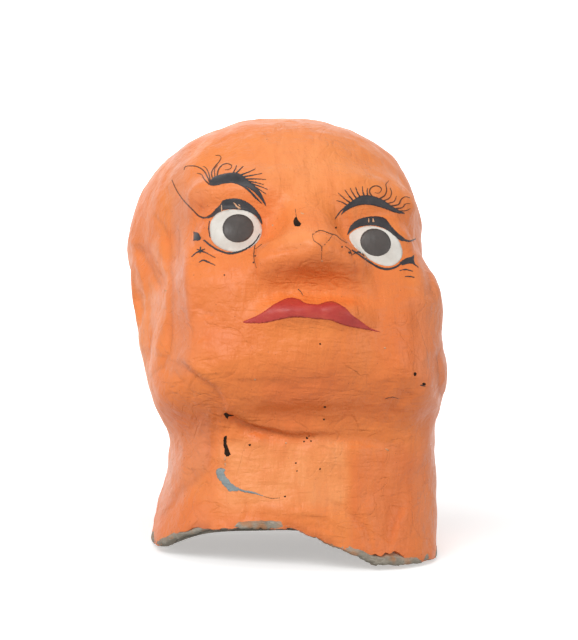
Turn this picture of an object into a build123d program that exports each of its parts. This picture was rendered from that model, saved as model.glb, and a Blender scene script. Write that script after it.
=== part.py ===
from build123d import *
import os
import math
import numpy as np

# Hollow paper-pulp head of a large glove puppet, standing on its open neck.
# Frame: +Z up, face towards -Y, the puppet's own left side towards +X.
# Origin: centre of the object's outline, on the level that the neck rim stands on.

# ---------------------------------------------------------------- driving dimensions (mm)
SKIN = 2.2            # painted outer paper layer
LINING = 1.6          # grey inner paper layer
STRIP = 0.8           # paper strips glued inside the join of the two half moulds
STRIP_HALF_W = 7.0    # half the width of a strip
BAND = 2.5            # folded band round the neck rim, thickness and foot height
BAND_TOP = 26.0       # how far the band runs up inside the neck
RIM_DROP = 9.5        # neck length below the level the head form is laid out from
TILT = 22.5           # the face looks up by this angle, degrees
CX, CY = 3.9, 45.7    # layout point to origin

TUBE_OD = 27.0        # card tube for the fingers
TUBE_ID = 22.5
TUBE_MOUTH = 20.0     # height of its mouth above the rest level
TUBE_TOP = 100.0
CAP_T = 2.0
DISC_T = 3.0          # card discs that carry the tube
DISC_LOW = 46.0
DISC_HIGH = 84.0

ARCH_H = 14.5         # worn arch in the front and back of the rim
SEAM_Y = -8.0         # the halves join on this plane of the head, ahead of the ears

NECK_X = 8.0 - CX     # neck axis in the part's frame
NECK_Y = 25.0 - CY

PIVOT = np.array([0.0, 6.0, 47.0])
HEAD0 = np.array([0.0, 19.6, 103.0])

# ---------------------------------------------------------------- the modelled form
# A signed field made of blended ellipsoids, negative inside. Sections of it are
# read off and lofted below.


def smin(a, b, k):
    h = np.clip(0.5 + 0.5 * (b - a) / k, 0, 1)
    return b * (1 - h) + a * h - k * h * (1 - h)


def smax(a, b, k):
    return -smin(-a, -b, k)


def turn_x(q, deg):
    c, s = math.cos(math.radians(deg)), math.sin(math.radians(deg))
    return np.stack([q[..., 0], q[..., 1] * c - q[..., 2] * s, q[..., 1] * s + q[..., 2] * c], -1)


def turn_z(q, deg):
    c, s = math.cos(math.radians(deg)), math.sin(math.radians(deg))
    return np.stack([q[..., 0] * c - q[..., 1] * s, q[..., 0] * s + q[..., 1] * c, q[..., 2]], -1)


def layout(p):
    return p + np.array([CX, CY, -RIM_DROP])


def to_head(p):
    return turn_x(layout(p) - PIVOT, TILT) + PIVOT - HEAD0


def from_head(h):
    q = turn_x(np.asarray(h, float) + HEAD0 - PIVOT, -TILT) + PIVOT
    return q - np.array([CX, CY, -RIM_DROP])


def ellipsoid(p, c, r, rx=0, rz=0):
    q = p - np.array(c, float)
    if rz:
        q = turn_z(q, -rz)
    if rx:
        q = turn_x(q, -rx)
    r = np.array(r, float)
    k0 = np.linalg.norm(q / r, axis=-1)
    k1 = np.linalg.norm(q / (r * r), axis=-1) + 1e-9
    return k0 * (k0 - 1) / k1


def mirrored(h):
    return np.stack([np.abs(h[..., 0]), h[..., 1], h[..., 2]], -1)


def neck_field(p):
    q = layout(p)
    z = q[..., 2]
    zz = np.clip(z, -9, 90)
    fl = np.exp(-((zz + 9) / 22) ** 2)
    hw = np.where(q[..., 0] > 8.0, 54.8 + 1.0 * fl, 52.6 + 7.0 * fl)
    hd = 43 + 5.0 * fl
    x = np.abs(q[..., 0] - 8.0) / hw
    y = np.abs(q[..., 1] - (25 + 0.10 * zz)) / hd
    n = 2.45
    d = ((x ** n + y ** n) ** (1 / n) - 1) * 46
    return smax(d, z - 82, 20)


def head_field(h):
    k = (h - np.array([2.6, 0, 0])) / np.array([1.06, 1, 1])
    st = np.clip((k[..., 2] + 20) / 40, 0, 1)
    st = st * st * (3 - 2 * st)
    k = np.stack([k[..., 0] * np.where(k[..., 0] > 0, 1 + 0.045 * st, 1.0), k[..., 1], k[..., 2]], -1)
    s = mirrored(k)
    d = ellipsoid(k, (0, 16, 20), (57, 62, 54))                       # brain case
    d = smin(d, ellipsoid(s, (18, 16, 34), (37, 46, 38)), 16)
    d = smin(d, ellipsoid(k, (0, -14, 26), (46, 40, 38)), 18)         # forehead
    d = smin(d, ellipsoid(k, (6, 6, 36), (34, 40, 36)), 14)
    d = smin(d, ellipsoid(k, (0, -2, -14), (52, 50, 48)), 18)
    d = smin(d, ellipsoid(s, (29, -30, -16), (22, 24, 24)), 14)       # cheeks
    d = smin(d, ellipsoid(k, (0, -31, -32), (34, 27, 21)), 14)        # upper lip mound
    d = smin(d, ellipsoid(k, (0, -28, -45), (34, 21, 17)), 14)        # chin
    d = smin(d, ellipsoid(s, (34, -10, -44), (21, 36, 19)), 16)       # jaw
    f = mirrored(h)
    d = smin(d, ellipsoid(f, (23, -47, 22), (22, 9, 7), rz=14), 12)   # brow ridges
    d = smax(d, -ellipsoid(f, (29, -64, 3), (15, 10, 11)), 8)         # eye sockets
    return d


def form(p):
    return smin(head_field(to_head(p)), neck_field(p), 7)


def nose_field(p):
    h = to_head(p) + np.array([1.8, 0, 0])
    a, b = np.array([0, -49, 20.0]), np.array([0, -60, -8.0])
    t = np.clip(((h - a) @ (b - a)) / ((b - a) @ (b - a)), 0, 1)
    d = np.linalg.norm(h - a - t[..., None] * (b - a), axis=-1) - (7.5 + 6 * t)
    d = smin(d, ellipsoid(mirrored(h), (12.5, -56.5, -11), (9.5, 10.5, 9.5)), 6)
    return smax(d, -(h[..., 2] + 17.5) - 0.30 * (h[..., 1] + 60), 5)


def lips_field(p):
    s = mirrored(to_head(p))
    return ellipsoid(s, (9, -52, -30), (16, 10, 5.5), rz=18)


def ear_field(p, side):
    h = to_head(p)
    s = np.stack([(h[..., 0] - 2.6) * side, h[..., 1], h[..., 2]], -1)
    lobe = np.array([2.5, 0, -2.0]) if side > 0 else np.zeros(3)
    d = ellipsoid(s, (56, 12, -4), (8, 15, 30), rx=-8)
    d = smin(d, ellipsoid(s - lobe, (54, 4, -32), (8.5, 11, 15)), 8)
    return smax(d, -ellipsoid(s, (65, 8, 0), (7, 8, 15), rx=-8), 4)


# ---------------------------------------------------------------- reading sections off the form
HEAD_X = np.array([1.0, 0.0, 0.0])
HEAD_Y = from_head((0, 1, 0)) - from_head((0, 0, 0))
HEAD_Z = from_head((0, 0, 1)) - from_head((0, 0, 0))


def ring(field, level, centre, u, v, n, reach, skew=0.0):
    """Closed ring of n points where the field has the given level, in the plane of u and v."""
    t = np.linspace(0, 2 * math.pi, n, endpoint=False) + skew
    d = np.cos(t)[:, None] * u + np.sin(t)[:, None] * v
    rr = np.linspace(0.0, reach, 90)
    val = field(centre + d[:, None, :] * rr[None, :, None]) - level
    inside = val < 0
    first_out = np.argmax(~inside, axis=1)
    lo = rr[np.maximum(first_out - 1, 0)]
    hi = rr[first_out]
    for _ in range(34):
        m = 0.5 * (lo + hi)
        f = field(centre + d * m[:, None]) - level
        lo = np.where(f < 0, m, lo)
        hi = np.where(f < 0, hi, m)
    return centre + d * lo[:, None]


X0, Y0 = 8.0 - CX, 51.0 - CY          # the crown's highest point
CROWN_Z = 166.86 + RIM_DROP


def axis_at(z):
    t = z / CROWN_Z
    return np.array([NECK_X + (X0 - NECK_X) * t, NECK_Y + (Y0 - NECK_Y) * t, z])


def levels_for(level):
    top = CROWN_Z + level
    low = [0, 8, 17, 27, 36, 45, 53, 60, 67, 74, 82, 90, 98, 106, 114, 122, 130, 138, 145, 151.5]
    z = [q for q in low if q < top - 20]
    return z + [top - 19, top - 14, top - 9.5, top - 6, top - 3.2, top - 1.4, top - 0.4]


N = 34


def rings_of_form(level):
    out = []
    for z in levels_for(level):
        r = ring(form, level, axis_at(z), np.array([1.0, 0, 0]), np.array([0, 1.0, 0]), N, 120.0, 0.09)
        out.append([tuple(float(c) for c in q) for q in r])
    return out


def head_rings(field, near, zs, n, reach, search=12.0):
    """Rings in planes square to the head's own upright, each about its section's deepest point."""
    gx, gy = np.meshgrid(np.linspace(-search, search, 33), np.linspace(-18, 18, 41), indexing="ij")
    out = []
    for z in zs:
        grid = np.stack([near[0] + gx, near[1] + gy, np.full(gx.shape, float(z))], -1)
        val = field(from_head(grid))
        c = from_head(grid[np.unravel_index(val.argmin(), val.shape)])
        r = ring(field, 0.0, c, HEAD_X, HEAD_Y, n, reach)
        out.append([Vector(*(float(k) for k in q)) for q in r])
    return out


def even_spline(points):
    """Closed spline with the same even parameters in every ring, so that a loft's surface stays compact."""
    n = len(points)
    return Edge.make_spline([Vector(x, y, 0) for x, y in points], periodic=True,
                            parameters=[i / n for i in range(n + 1)])


def section_plane(point):
    """Plane square to the head's upright, through the given point."""
    return Plane(origin=point, x_dir=Vector(*HEAD_X), z_dir=Vector(*HEAD_Z))


# ---------------------------------------------------------------- nested head forms
# The same form at five depths. Every layer of the wall lies between two of them.

with BuildPart() as form_outer:
    for pts in rings_of_form(0.0):
        with BuildSketch(Plane.XY.offset(pts[0][2])):
            with BuildLine():
                add(even_spline([(p[0], p[1]) for p in pts]))
            make_face()
    loft()

with BuildPart() as form_skin_in:
    for pts in rings_of_form(-SKIN):
        with BuildSketch(Plane.XY.offset(pts[0][2])):
            with BuildLine():
                add(even_spline([(p[0], p[1]) for p in pts]))
            make_face()
    loft()

with BuildPart() as form_lining_in:
    for pts in rings_of_form(-SKIN - LINING):
        with BuildSketch(Plane.XY.offset(pts[0][2])):
            with BuildLine():
                add(even_spline([(p[0], p[1]) for p in pts]))
            make_face()
    loft()

with BuildPart() as form_strip_in:
    for pts in rings_of_form(-SKIN - LINING - STRIP):
        with BuildSketch(Plane.XY.offset(pts[0][2])):
            with BuildLine():
                add(even_spline([(p[0], p[1]) for p in pts]))
            make_face()
    loft()

with BuildPart() as form_band_in:
    for pts in rings_of_form(-SKIN - LINING - BAND):
        with BuildSketch(Plane.XY.offset(pts[0][2])):
            with BuildLine():
                add(even_spline([(p[0], p[1]) for p in pts]))
            make_face()
    loft()


def wall_between(outside, inside):
    """Cup-shaped solid between two nested forms, open at the neck."""
    out_faces = outside.part.faces().sort_by(Axis.Z)
    in_faces = inside.part.faces().sort_by(Axis.Z)
    foot_out = [f for f in out_faces if f.geom_type == GeomType.PLANE and abs(f.center().Z) < 1e-6][0]
    foot_in = [f for f in in_faces if f.geom_type == GeomType.PLANE and abs(f.center().Z) < 1e-6][0]
    rim = Face(foot_out.outer_wire(), [foot_in.outer_wire()])
    keep = [f for f in out_faces if f is not foot_out] + [f for f in in_faces if f is not foot_in]
    return Solid(Shell(keep + [rim]))


# ---------------------------------------------------------------- cutters

seam = Plane(origin=Vector(*from_head((0, SEAM_Y, 0))), x_dir=Vector(*HEAD_X), z_dir=Vector(*HEAD_Y))

with BuildPart() as arch:                     # the worn rim: an arch right through, front to back
    with BuildSketch(Plane(origin=(0, -20 - CY, 0), x_dir=(0.976, -0.218, 0), z_dir=(-0.218, -0.976, 0)).offset(40)):
        with BuildLine():
            Spline((-60, -3), (-53, 5.5), (-45, 10), (-34, 13), (-20, ARCH_H), (-2, ARCH_H), (12, 10.5), (22, 5.5), (29, -3))
            Line((29, -3), (-60, -3))
        make_face()
    extrude(amount=-210)

# ---------------------------------------------------------------- wall: painted skin, two halves

with BuildPart() as skin:
    add(wall_between(form_outer, form_skin_in))
    split(bisect_by=Plane.XY.offset(BAND), keep=Keep.TOP)
    add(arch.part, mode=Mode.SUBTRACT)

with BuildPart() as face_shell:
    add(skin.part)
    split(bisect_by=seam, keep=Keep.BOTTOM)

with BuildPart() as back_shell:
    add(skin.part)
    split(bisect_by=seam, keep=Keep.TOP)

# ---------------------------------------------------------------- wall: grey inner paper, two halves

with BuildPart() as lining:
    add(wall_between(form_skin_in, form_lining_in))
    split(bisect_by=Plane.XY.offset(BAND), keep=Keep.TOP)
    add(arch.part, mode=Mode.SUBTRACT)

with BuildPart() as face_lining:
    add(lining.part)
    split(bisect_by=seam, keep=Keep.BOTTOM)

with BuildPart() as back_lining:
    add(lining.part)
    split(bisect_by=seam, keep=Keep.TOP)

# ---------------------------------------------------------------- folded band round the rim

with BuildPart() as band_foot:
    add(wall_between(form_outer, form_band_in))
    split(bisect_by=Plane.XY.offset(BAND), keep=Keep.BOTTOM)

with BuildPart() as rim_band:
    add(wall_between(form_lining_in, form_band_in))
    split(bisect_by=Plane.XY.offset(BAND_TOP), keep=Keep.BOTTOM)
    split(bisect_by=Plane.XY.offset(BAND), keep=Keep.TOP)
    add(band_foot.part)
    add(arch.part, mode=Mode.SUBTRACT)

# ---------------------------------------------------------------- paper strips inside the join

with BuildPart() as seam_ring:
    add(wall_between(form_lining_in, form_strip_in))
    split(bisect_by=seam.offset(-STRIP_HALF_W), keep=Keep.TOP)
    split(bisect_by=seam.offset(STRIP_HALF_W), keep=Keep.BOTTOM)
    split(bisect_by=Plane.XY.offset(BAND_TOP), keep=Keep.TOP)

with BuildPart() as seam_strip_crown:
    add(seam_ring.part)
    split(bisect_by=Plane.XY.offset(132), keep=Keep.TOP)

with BuildPart() as seam_strip_left:
    add(seam_ring.part)
    split(bisect_by=Plane.XY.offset(132), keep=Keep.BOTTOM)
    split(bisect_by=Plane.YZ.offset(NECK_X), keep=Keep.TOP)

with BuildPart() as seam_strip_right:
    add(seam_ring.part)
    split(bisect_by=Plane.XY.offset(132), keep=Keep.BOTTOM)
    split(bisect_by=Plane.YZ.offset(NECK_X), keep=Keep.BOTTOM)

# ---------------------------------------------------------------- finger tube and the discs that carry it

with BuildPart() as finger_tube:
    with BuildSketch(Plane.XY.offset(TUBE_MOUTH)):
        with Locations((NECK_X, NECK_Y)):
            Circle(TUBE_OD / 2)
            Circle(TUBE_ID / 2, mode=Mode.SUBTRACT)
    extrude(amount=TUBE_TOP - TUBE_MOUTH)

with BuildPart() as finger_tube_cap:
    with BuildSketch(Plane.XY.offset(TUBE_TOP)):
        with Locations((NECK_X, NECK_Y)):
            Circle(TUBE_OD / 2)
    extrude(amount=CAP_T)
    chamfer(finger_tube_cap.edges().group_by(Axis.Z)[-1], 0.5)

with BuildPart() as neck_disc_lower:
    add(form_strip_in.part)
    split(bisect_by=Plane.XY.offset(DISC_LOW), keep=Keep.TOP)
    split(bisect_by=Plane.XY.offset(DISC_LOW + DISC_T), keep=Keep.BOTTOM)
    with BuildSketch(Plane.XY.offset(DISC_LOW)):
        with Locations((NECK_X, NECK_Y)):
            Circle(TUBE_OD / 2)
    extrude(amount=DISC_T, mode=Mode.SUBTRACT)

with BuildPart() as neck_disc_upper:
    add(form_strip_in.part)
    split(bisect_by=Plane.XY.offset(DISC_HIGH), keep=Keep.TOP)
    split(bisect_by=Plane.XY.offset(DISC_HIGH + DISC_T), keep=Keep.BOTTOM)
    with BuildSketch(Plane.XY.offset(DISC_HIGH)):
        with Locations((NECK_X, NECK_Y)):
            Circle(TUBE_OD / 2)
    extrude(amount=DISC_T, mode=Mode.SUBTRACT)

# ---------------------------------------------------------------- pulp pieces built up on the skin

with BuildPart() as nose:
    for pts in head_rings(nose_field, (-1.8, -57), [-17.6, -16.6, -14.5, -11, -5, 2, 10, 17, 22, 25], 28, 40, 0.01):
        pl = section_plane(pts[0])
        with BuildSketch(pl):
            with BuildLine():
                add(even_spline([(q.X, q.Y) for q in (pl.to_local_coords(p) for p in pts)]))
            make_face()
    loft()
    add(form_outer.part, mode=Mode.SUBTRACT)

with BuildPart() as lips:
    for pts in head_rings(lips_field, (0, -50), [-34.1, -33.2, -31.8, -30, -28.2, -26.8, -25.9], 28, 45, 0.01):
        pl = section_plane(pts[0])
        with BuildSketch(pl):
            with BuildLine():
                add(even_spline([(q.X, q.Y) for q in (pl.to_local_coords(p) for p in pts)]))
            make_face()
    loft()
    add(form_outer.part, mode=Mode.SUBTRACT)

with BuildPart() as ear_left:
    for pts in head_rings(lambda p: ear_field(p, 1), (57, 8), [-47.5, -46, -42, -36, -29, -20, -10, 0, 10, 18, 23, 25.2], 26, 40):
        pl = section_plane(pts[0])
        with BuildSketch(pl):
            with BuildLine():
                add(even_spline([(q.X, q.Y) for q in (pl.to_local_coords(p) for p in pts)]))
            make_face()
    loft()
    add(form_outer.part, mode=Mode.SUBTRACT)

with BuildPart() as ear_right:
    for pts in head_rings(lambda p: ear_field(p, -1), (-52, 8), [-45.8, -44, -40, -34, -27, -19, -10, 0, 10, 18, 23, 25.2], 26, 40):
        pl = section_plane(pts[0])
        with BuildSketch(pl):
            with BuildLine():
                add(even_spline([(q.X, q.Y) for q in (pl.to_local_coords(p) for p in pts)]))
            make_face()
    loft()
    add(form_outer.part, mode=Mode.SUBTRACT)

EYE_C = (28.5, -43.0, 4.0)            # pulp domes under the painted eyes, in the head's frame
EYE_R = (14.5, 12.5, 12.5)

with BuildPart() as eye_left:
    for pts in head_rings(lambda p: ellipsoid(to_head(p), EYE_C, EYE_R), (28.5, -43), [-7.8, -6.5, -4, -0.5, 4, 8.5, 12, 14.5, 15.8], 24, 30, 0.01):
        pl = section_plane(pts[0])
        with BuildSketch(pl):
            with BuildLine():
                add(even_spline([(q.X, q.Y) for q in (pl.to_local_coords(p) for p in pts)]))
            make_face()
    loft()
    add(form_outer.part, mode=Mode.SUBTRACT)

with BuildPart() as eye_right:
    for pts in head_rings(lambda p: ellipsoid(mirrored(to_head(p)), EYE_C, EYE_R), (-28.5, -43), [-7.8, -6.5, -4, -0.5, 4, 8.5, 12, 14.5, 15.8], 24, 30, 0.01):
        pl = section_plane(pts[0])
        with BuildSketch(pl):
            with BuildLine():
                add(even_spline([(q.X, q.Y) for q in (pl.to_local_coords(p) for p in pts)]))
            make_face()
    loft()
    add(form_outer.part, mode=Mode.SUBTRACT)

# ---------------------------------------------------------------- labels and files

os.makedirs("parts", exist_ok=True)
face_shell.part.label = "face_shell"
back_shell.part.label = "back_shell"
face_lining.part.label = "face_lining"
back_lining.part.label = "back_lining"
rim_band.part.label = "rim_band"
seam_strip_crown.part.label = "seam_strip_crown"
seam_strip_left.part.label = "seam_strip_left"
seam_strip_right.part.label = "seam_strip_right"
finger_tube.part.label = "finger_tube"
finger_tube_cap.part.label = "finger_tube_cap"
neck_disc_lower.part.label = "neck_disc_lower"
neck_disc_upper.part.label = "neck_disc_upper"
nose.part.label = "nose"
lips.part.label = "lips"
ear_left.part.label = "ear_left"
ear_right.part.label = "ear_right"
eye_left.part.label = "eye_left"
eye_right.part.label = "eye_right"

export_step(face_shell.part, "parts/face_shell.step")
export_step(back_shell.part, "parts/back_shell.step")
export_step(face_lining.part, "parts/face_lining.step")
export_step(back_lining.part, "parts/back_lining.step")
export_step(rim_band.part, "parts/rim_band.step")
export_step(seam_strip_crown.part, "parts/seam_strip_crown.step")
export_step(seam_strip_left.part, "parts/seam_strip_left.step")
export_step(seam_strip_right.part, "parts/seam_strip_right.step")
export_step(finger_tube.part, "parts/finger_tube.step")
export_step(finger_tube_cap.part, "parts/finger_tube_cap.step")
export_step(neck_disc_lower.part, "parts/neck_disc_lower.step")
export_step(neck_disc_upper.part, "parts/neck_disc_upper.step")
export_step(nose.part, "parts/nose.step")
export_step(lips.part, "parts/lips.step")
export_step(ear_left.part, "parts/ear_left.step")
export_step(ear_right.part, "parts/ear_right.step")
export_step(eye_left.part, "parts/eye_left.step")
export_step(eye_right.part, "parts/eye_right.step")
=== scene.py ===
import bmesh
import bpy
import math
import numpy as np
from mathutils import Vector, Matrix, geometry
from mathutils.bvhtree import BVHTree


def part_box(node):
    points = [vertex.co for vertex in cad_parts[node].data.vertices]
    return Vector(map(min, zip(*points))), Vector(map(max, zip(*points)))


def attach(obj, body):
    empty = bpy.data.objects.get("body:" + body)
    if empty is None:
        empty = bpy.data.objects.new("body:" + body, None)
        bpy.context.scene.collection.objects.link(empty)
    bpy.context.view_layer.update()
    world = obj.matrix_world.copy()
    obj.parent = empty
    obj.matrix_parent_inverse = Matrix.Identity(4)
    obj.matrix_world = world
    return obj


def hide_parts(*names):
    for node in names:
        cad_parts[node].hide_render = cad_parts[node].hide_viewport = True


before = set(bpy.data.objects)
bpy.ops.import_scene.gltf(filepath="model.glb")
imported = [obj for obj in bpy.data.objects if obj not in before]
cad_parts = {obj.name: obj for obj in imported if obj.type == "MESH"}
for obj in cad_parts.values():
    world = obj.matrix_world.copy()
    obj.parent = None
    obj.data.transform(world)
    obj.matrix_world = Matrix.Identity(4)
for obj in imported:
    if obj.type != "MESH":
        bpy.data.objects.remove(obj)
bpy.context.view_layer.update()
MM = 0.001

# ------------------------------------------------------------------ where the CAD part stands
tube_lo, tube_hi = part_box("finger_tube")
# layout frame (mm): neck axis at x 8, y 25; z counts from 9.5 above the rest level
OFF = np.array([8.0 - (tube_lo.x + tube_hi.x) * 500.0, 25.0 - (tube_lo.y + tube_hi.y) * 500.0, -9.5])


def to_row(p):
    return (np.asarray(p, float) - OFF) * MM


# ------------------------------------------------------------------ camera
AZ, EL, ROLL, DIST, TX, TY = -12.6, 1.5, 2.6, 586.0, 14.0, -20.0
TARGET = np.array([0.0, 0.0, 92.0])
a_, e_, r_ = math.radians(AZ), math.radians(EL), math.radians(ROLL)
BACK = np.array([math.sin(a_) * math.cos(e_), -math.cos(a_) * math.cos(e_), math.sin(e_)])
_right = np.cross(-BACK, [0, 0, 1.0]); _right /= np.linalg.norm(_right)
_up = np.cross(_right, -BACK)
RIGHT = _right * math.cos(r_) + _up * math.sin(r_)
UP = -_right * math.sin(r_) + _up * math.cos(r_)
EYE = TARGET + BACK * DIST
FK = 320.0 * 85.0 / 18.0

cam_data = bpy.data.cameras.new("camera")
cam_data.lens = 85
cam_data.sensor_width = 36
cam_data.shift_x = -TX / 640.0
cam_data.shift_y = TY / 640.0
cam_data.clip_start = 0.01
cam = bpy.data.objects.new("camera", cam_data)
m = Matrix.Identity(4)
pos = to_row(EYE)
for i in range(3):
    m[i][0], m[i][1], m[i][2], m[i][3] = RIGHT[i], UP[i], BACK[i], pos[i]
cam.matrix_world = m
bpy.context.scene.collection.objects.link(cam)
bpy.context.scene.camera = cam


def chart(p):
    """Flat chart of the front of the head that the painting and the damage are laid out on."""
    q = np.asarray(p, float) - EYE
    z = q @ -BACK
    return np.stack([289 + TX + FK * (q @ RIGHT) / z, 320 + TY - FK * (q @ UP) / z], -1)


def chart_ray(uv):
    u = (uv[0] - 289 - TX) / FK
    v = -(uv[1] - 320 - TY) / FK
    d = -BACK + u * RIGHT + v * UP
    return d / np.linalg.norm(d)


# ------------------------------------------------------------------ the head's form, in mm
def smin(a, b, k):
    h = np.clip(0.5 + 0.5 * (b - a) / k, 0, 1)
    return b * (1 - h) + a * h - k * h * (1 - h)


def smax(a, b, k):
    return -smin(-a, -b, k)


def turn_x(q, deg):
    c, s = math.cos(math.radians(deg)), math.sin(math.radians(deg))
    return np.stack([q[..., 0], q[..., 1] * c - q[..., 2] * s, q[..., 1] * s + q[..., 2] * c], -1)


def turn_z(q, deg):
    c, s = math.cos(math.radians(deg)), math.sin(math.radians(deg))
    return np.stack([q[..., 0] * c - q[..., 1] * s, q[..., 0] * s + q[..., 1] * c, q[..., 2]], -1)


def ell(p, c, r, rx=0, rz=0):
    q = p - np.array(c, float)
    if rz:
        q = turn_z(q, -rz)
    if rx:
        q = turn_x(q, -rx)
    r = np.array(r, float)
    k0 = np.sqrt(((q / r) ** 2).sum(-1))
    k1 = np.sqrt(((q / (r * r)) ** 2).sum(-1)) + 1e-9
    return k0 * (k0 - 1) / k1


def cap(p, a, b, ra, rb):
    a, b = np.array(a, float), np.array(b, float)
    t = np.clip(((p - a) @ (b - a)) / ((b - a) @ (b - a)), 0, 1)
    return np.linalg.norm(p - a - t[..., None] * (b - a), axis=-1) - (ra + (rb - ra) * t)


TILT = 22.5
PIV = np.array([0, 6.0, 47.0])
H0 = np.array([0, 19.6, 103.0])


def to_head(p):
    return turn_x(p - PIV, TILT) + PIV - H0


def from_head(h):
    return turn_x(np.asarray(h, float) + H0 - PIV, -TILT) + PIV


def mir(h):
    return np.stack([np.abs(h[..., 0]), h[..., 1], h[..., 2]], -1)


def neck_f(p):
    z = p[..., 2]
    zz = np.clip(z, -9, 90)
    fl = np.exp(-((zz + 9) / 22) ** 2)
    hw = np.where(p[..., 0] > 8.0, 54.8 + 1.0 * fl, 52.6 + 7.0 * fl)
    hd = 43 + 5.0 * fl
    x = np.abs(p[..., 0] - 8.0) / hw
    y = np.abs(p[..., 1] - (25 + 0.10 * zz)) / hd
    n = 2.45
    d = ((x ** n + y ** n) ** (1 / n) - 1) * 46
    return smax(d, z - 82, 20)


def head_f(h):
    k = (h - np.array([2.6, 0, 0])) / np.array([1.06, 1, 1])
    st = np.clip((k[..., 2] + 20) / 40, 0, 1)
    st = st * st * (3 - 2 * st)
    k = np.stack([k[..., 0] * np.where(k[..., 0] > 0, 1 + 0.045 * st, 1.0), k[..., 1], k[..., 2]], -1)
    s = mir(k)
    d = ell(k, (0, 16, 20), (57, 62, 54))
    d = smin(d, ell(s, (18, 16, 34), (37, 46, 38)), 16)
    d = smin(d, ell(k, (0, -14, 26), (46, 40, 38)), 18)
    d = smin(d, ell(k, (6, 6, 36), (34, 40, 36)), 14)
    d = smin(d, ell(k, (0, -2, -14), (52, 50, 48)), 18)
    d = smin(d, ell(s, (29, -30, -16), (22, 24, 24)), 14)
    d = smin(d, ell(k, (0, -31, -32), (34, 27, 21)), 14)
    d = smin(d, ell(k, (0, -28, -45), (34, 21, 17)), 14)
    d = smin(d, ell(s, (34, -10, -44), (21, 36, 19)), 16)
    f = mir(h)
    d = smin(d, ell(f, (23, -47, 22), (22, 9, 7), rz=14), 12)
    d = smax(d, -ell(f, (29, -64, 3), (15, 10, 11)), 8)
    return d


def eyes_f(h):
    return ell(mir(h), (28.5, -43, 4), (14.5, 11.8, 12.5))


def nose_f(h):
    g = h + np.array([1.8, 0, 0])
    d = cap(g, (0, -49, 20), (0, -60, -8), 7.5, 13.5)
    d = smin(d, ell(mir(g), (12.5, -56.5, -11), (9.5, 10.5, 9.5)), 6)
    return smax(d, -(g[..., 2] + 17.5) - 0.30 * (g[..., 1] + 60), 5)


def lips_f(h):
    return ell(mir(h), (9, -52, -30), (16, 10, 5.5), rz=18)


def ear_f(h):
    x = h[..., 0] - 2.6
    s = np.stack([np.abs(x), h[..., 1], h[..., 2]], -1)
    lobe = np.where(x > 0, 1.0, 0.0)
    t = np.clip((8 - h[..., 2]) / 24, 0, 1)
    s = s + np.stack([(1 - lobe) * 4.0 * t * t * (3 - 2 * t) + lobe * 2.8 * np.exp(-((h[..., 2] + 20) / 8) ** 2), 0 * lobe, 0 * lobe], -1)
    sh = np.stack([2.5 * lobe, 0 * lobe, -2.0 * lobe], -1)
    d = ell(s, (56, 12, -4), (8, 15, 30), rx=-8)
    d = smin(d, ell(s - sh, (54, 4, -32), (8.5, 11, 15)), 8)
    d = smax(d, -ell(s, (64.5, 9, -1), (8, 8, 15), rx=-8), 2.5)
    return d


def body_f(p):
    h = to_head(p)
    d = head_f(h)
    d = smin(d, eyes_f(h), 3)
    d = smin(d, nose_f(h), 7)
    d = smin(d, lips_f(h), 4)
    d = smin(d, neck_f(p), 7)
    d = smin(d, ear_f(h), 2.5)
    return d


def batched(f, P, n=250000):
    return np.concatenate([f(P[i:i + n]) for i in range(0, len(P), n)])


# ------------------------------------------------------------------ value noise, seeded
def lattice(seed):
    return np.random.RandomState(seed).uniform(-1, 1, (32, 32, 32))


LAT = {s: lattice(s) for s in (3, 7, 11, 19, 23)}


def noise(p, scale, seed):
    q = p / scale + 101.3
    i = np.floor(q).astype(int)
    f = q - i
    f = f * f * (3 - 2 * f)
    L = LAT[seed]
    i0, i1 = i % 32, (i + 1) % 32
    out = 0
    for dx in (0, 1):
        wx = f[:, 0] if dx else 1 - f[:, 0]
        ix = i1[:, 0] if dx else i0[:, 0]
        for dy in (0, 1):
            wy = f[:, 1] if dy else 1 - f[:, 1]
            iy = i1[:, 1] if dy else i0[:, 1]
            for dz in (0, 1):
                wz = f[:, 2] if dz else 1 - f[:, 2]
                iz = i1[:, 2] if dz else i0[:, 2]
                out = out + L[ix, iy, iz] * wx * wy * wz
    return out


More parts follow.
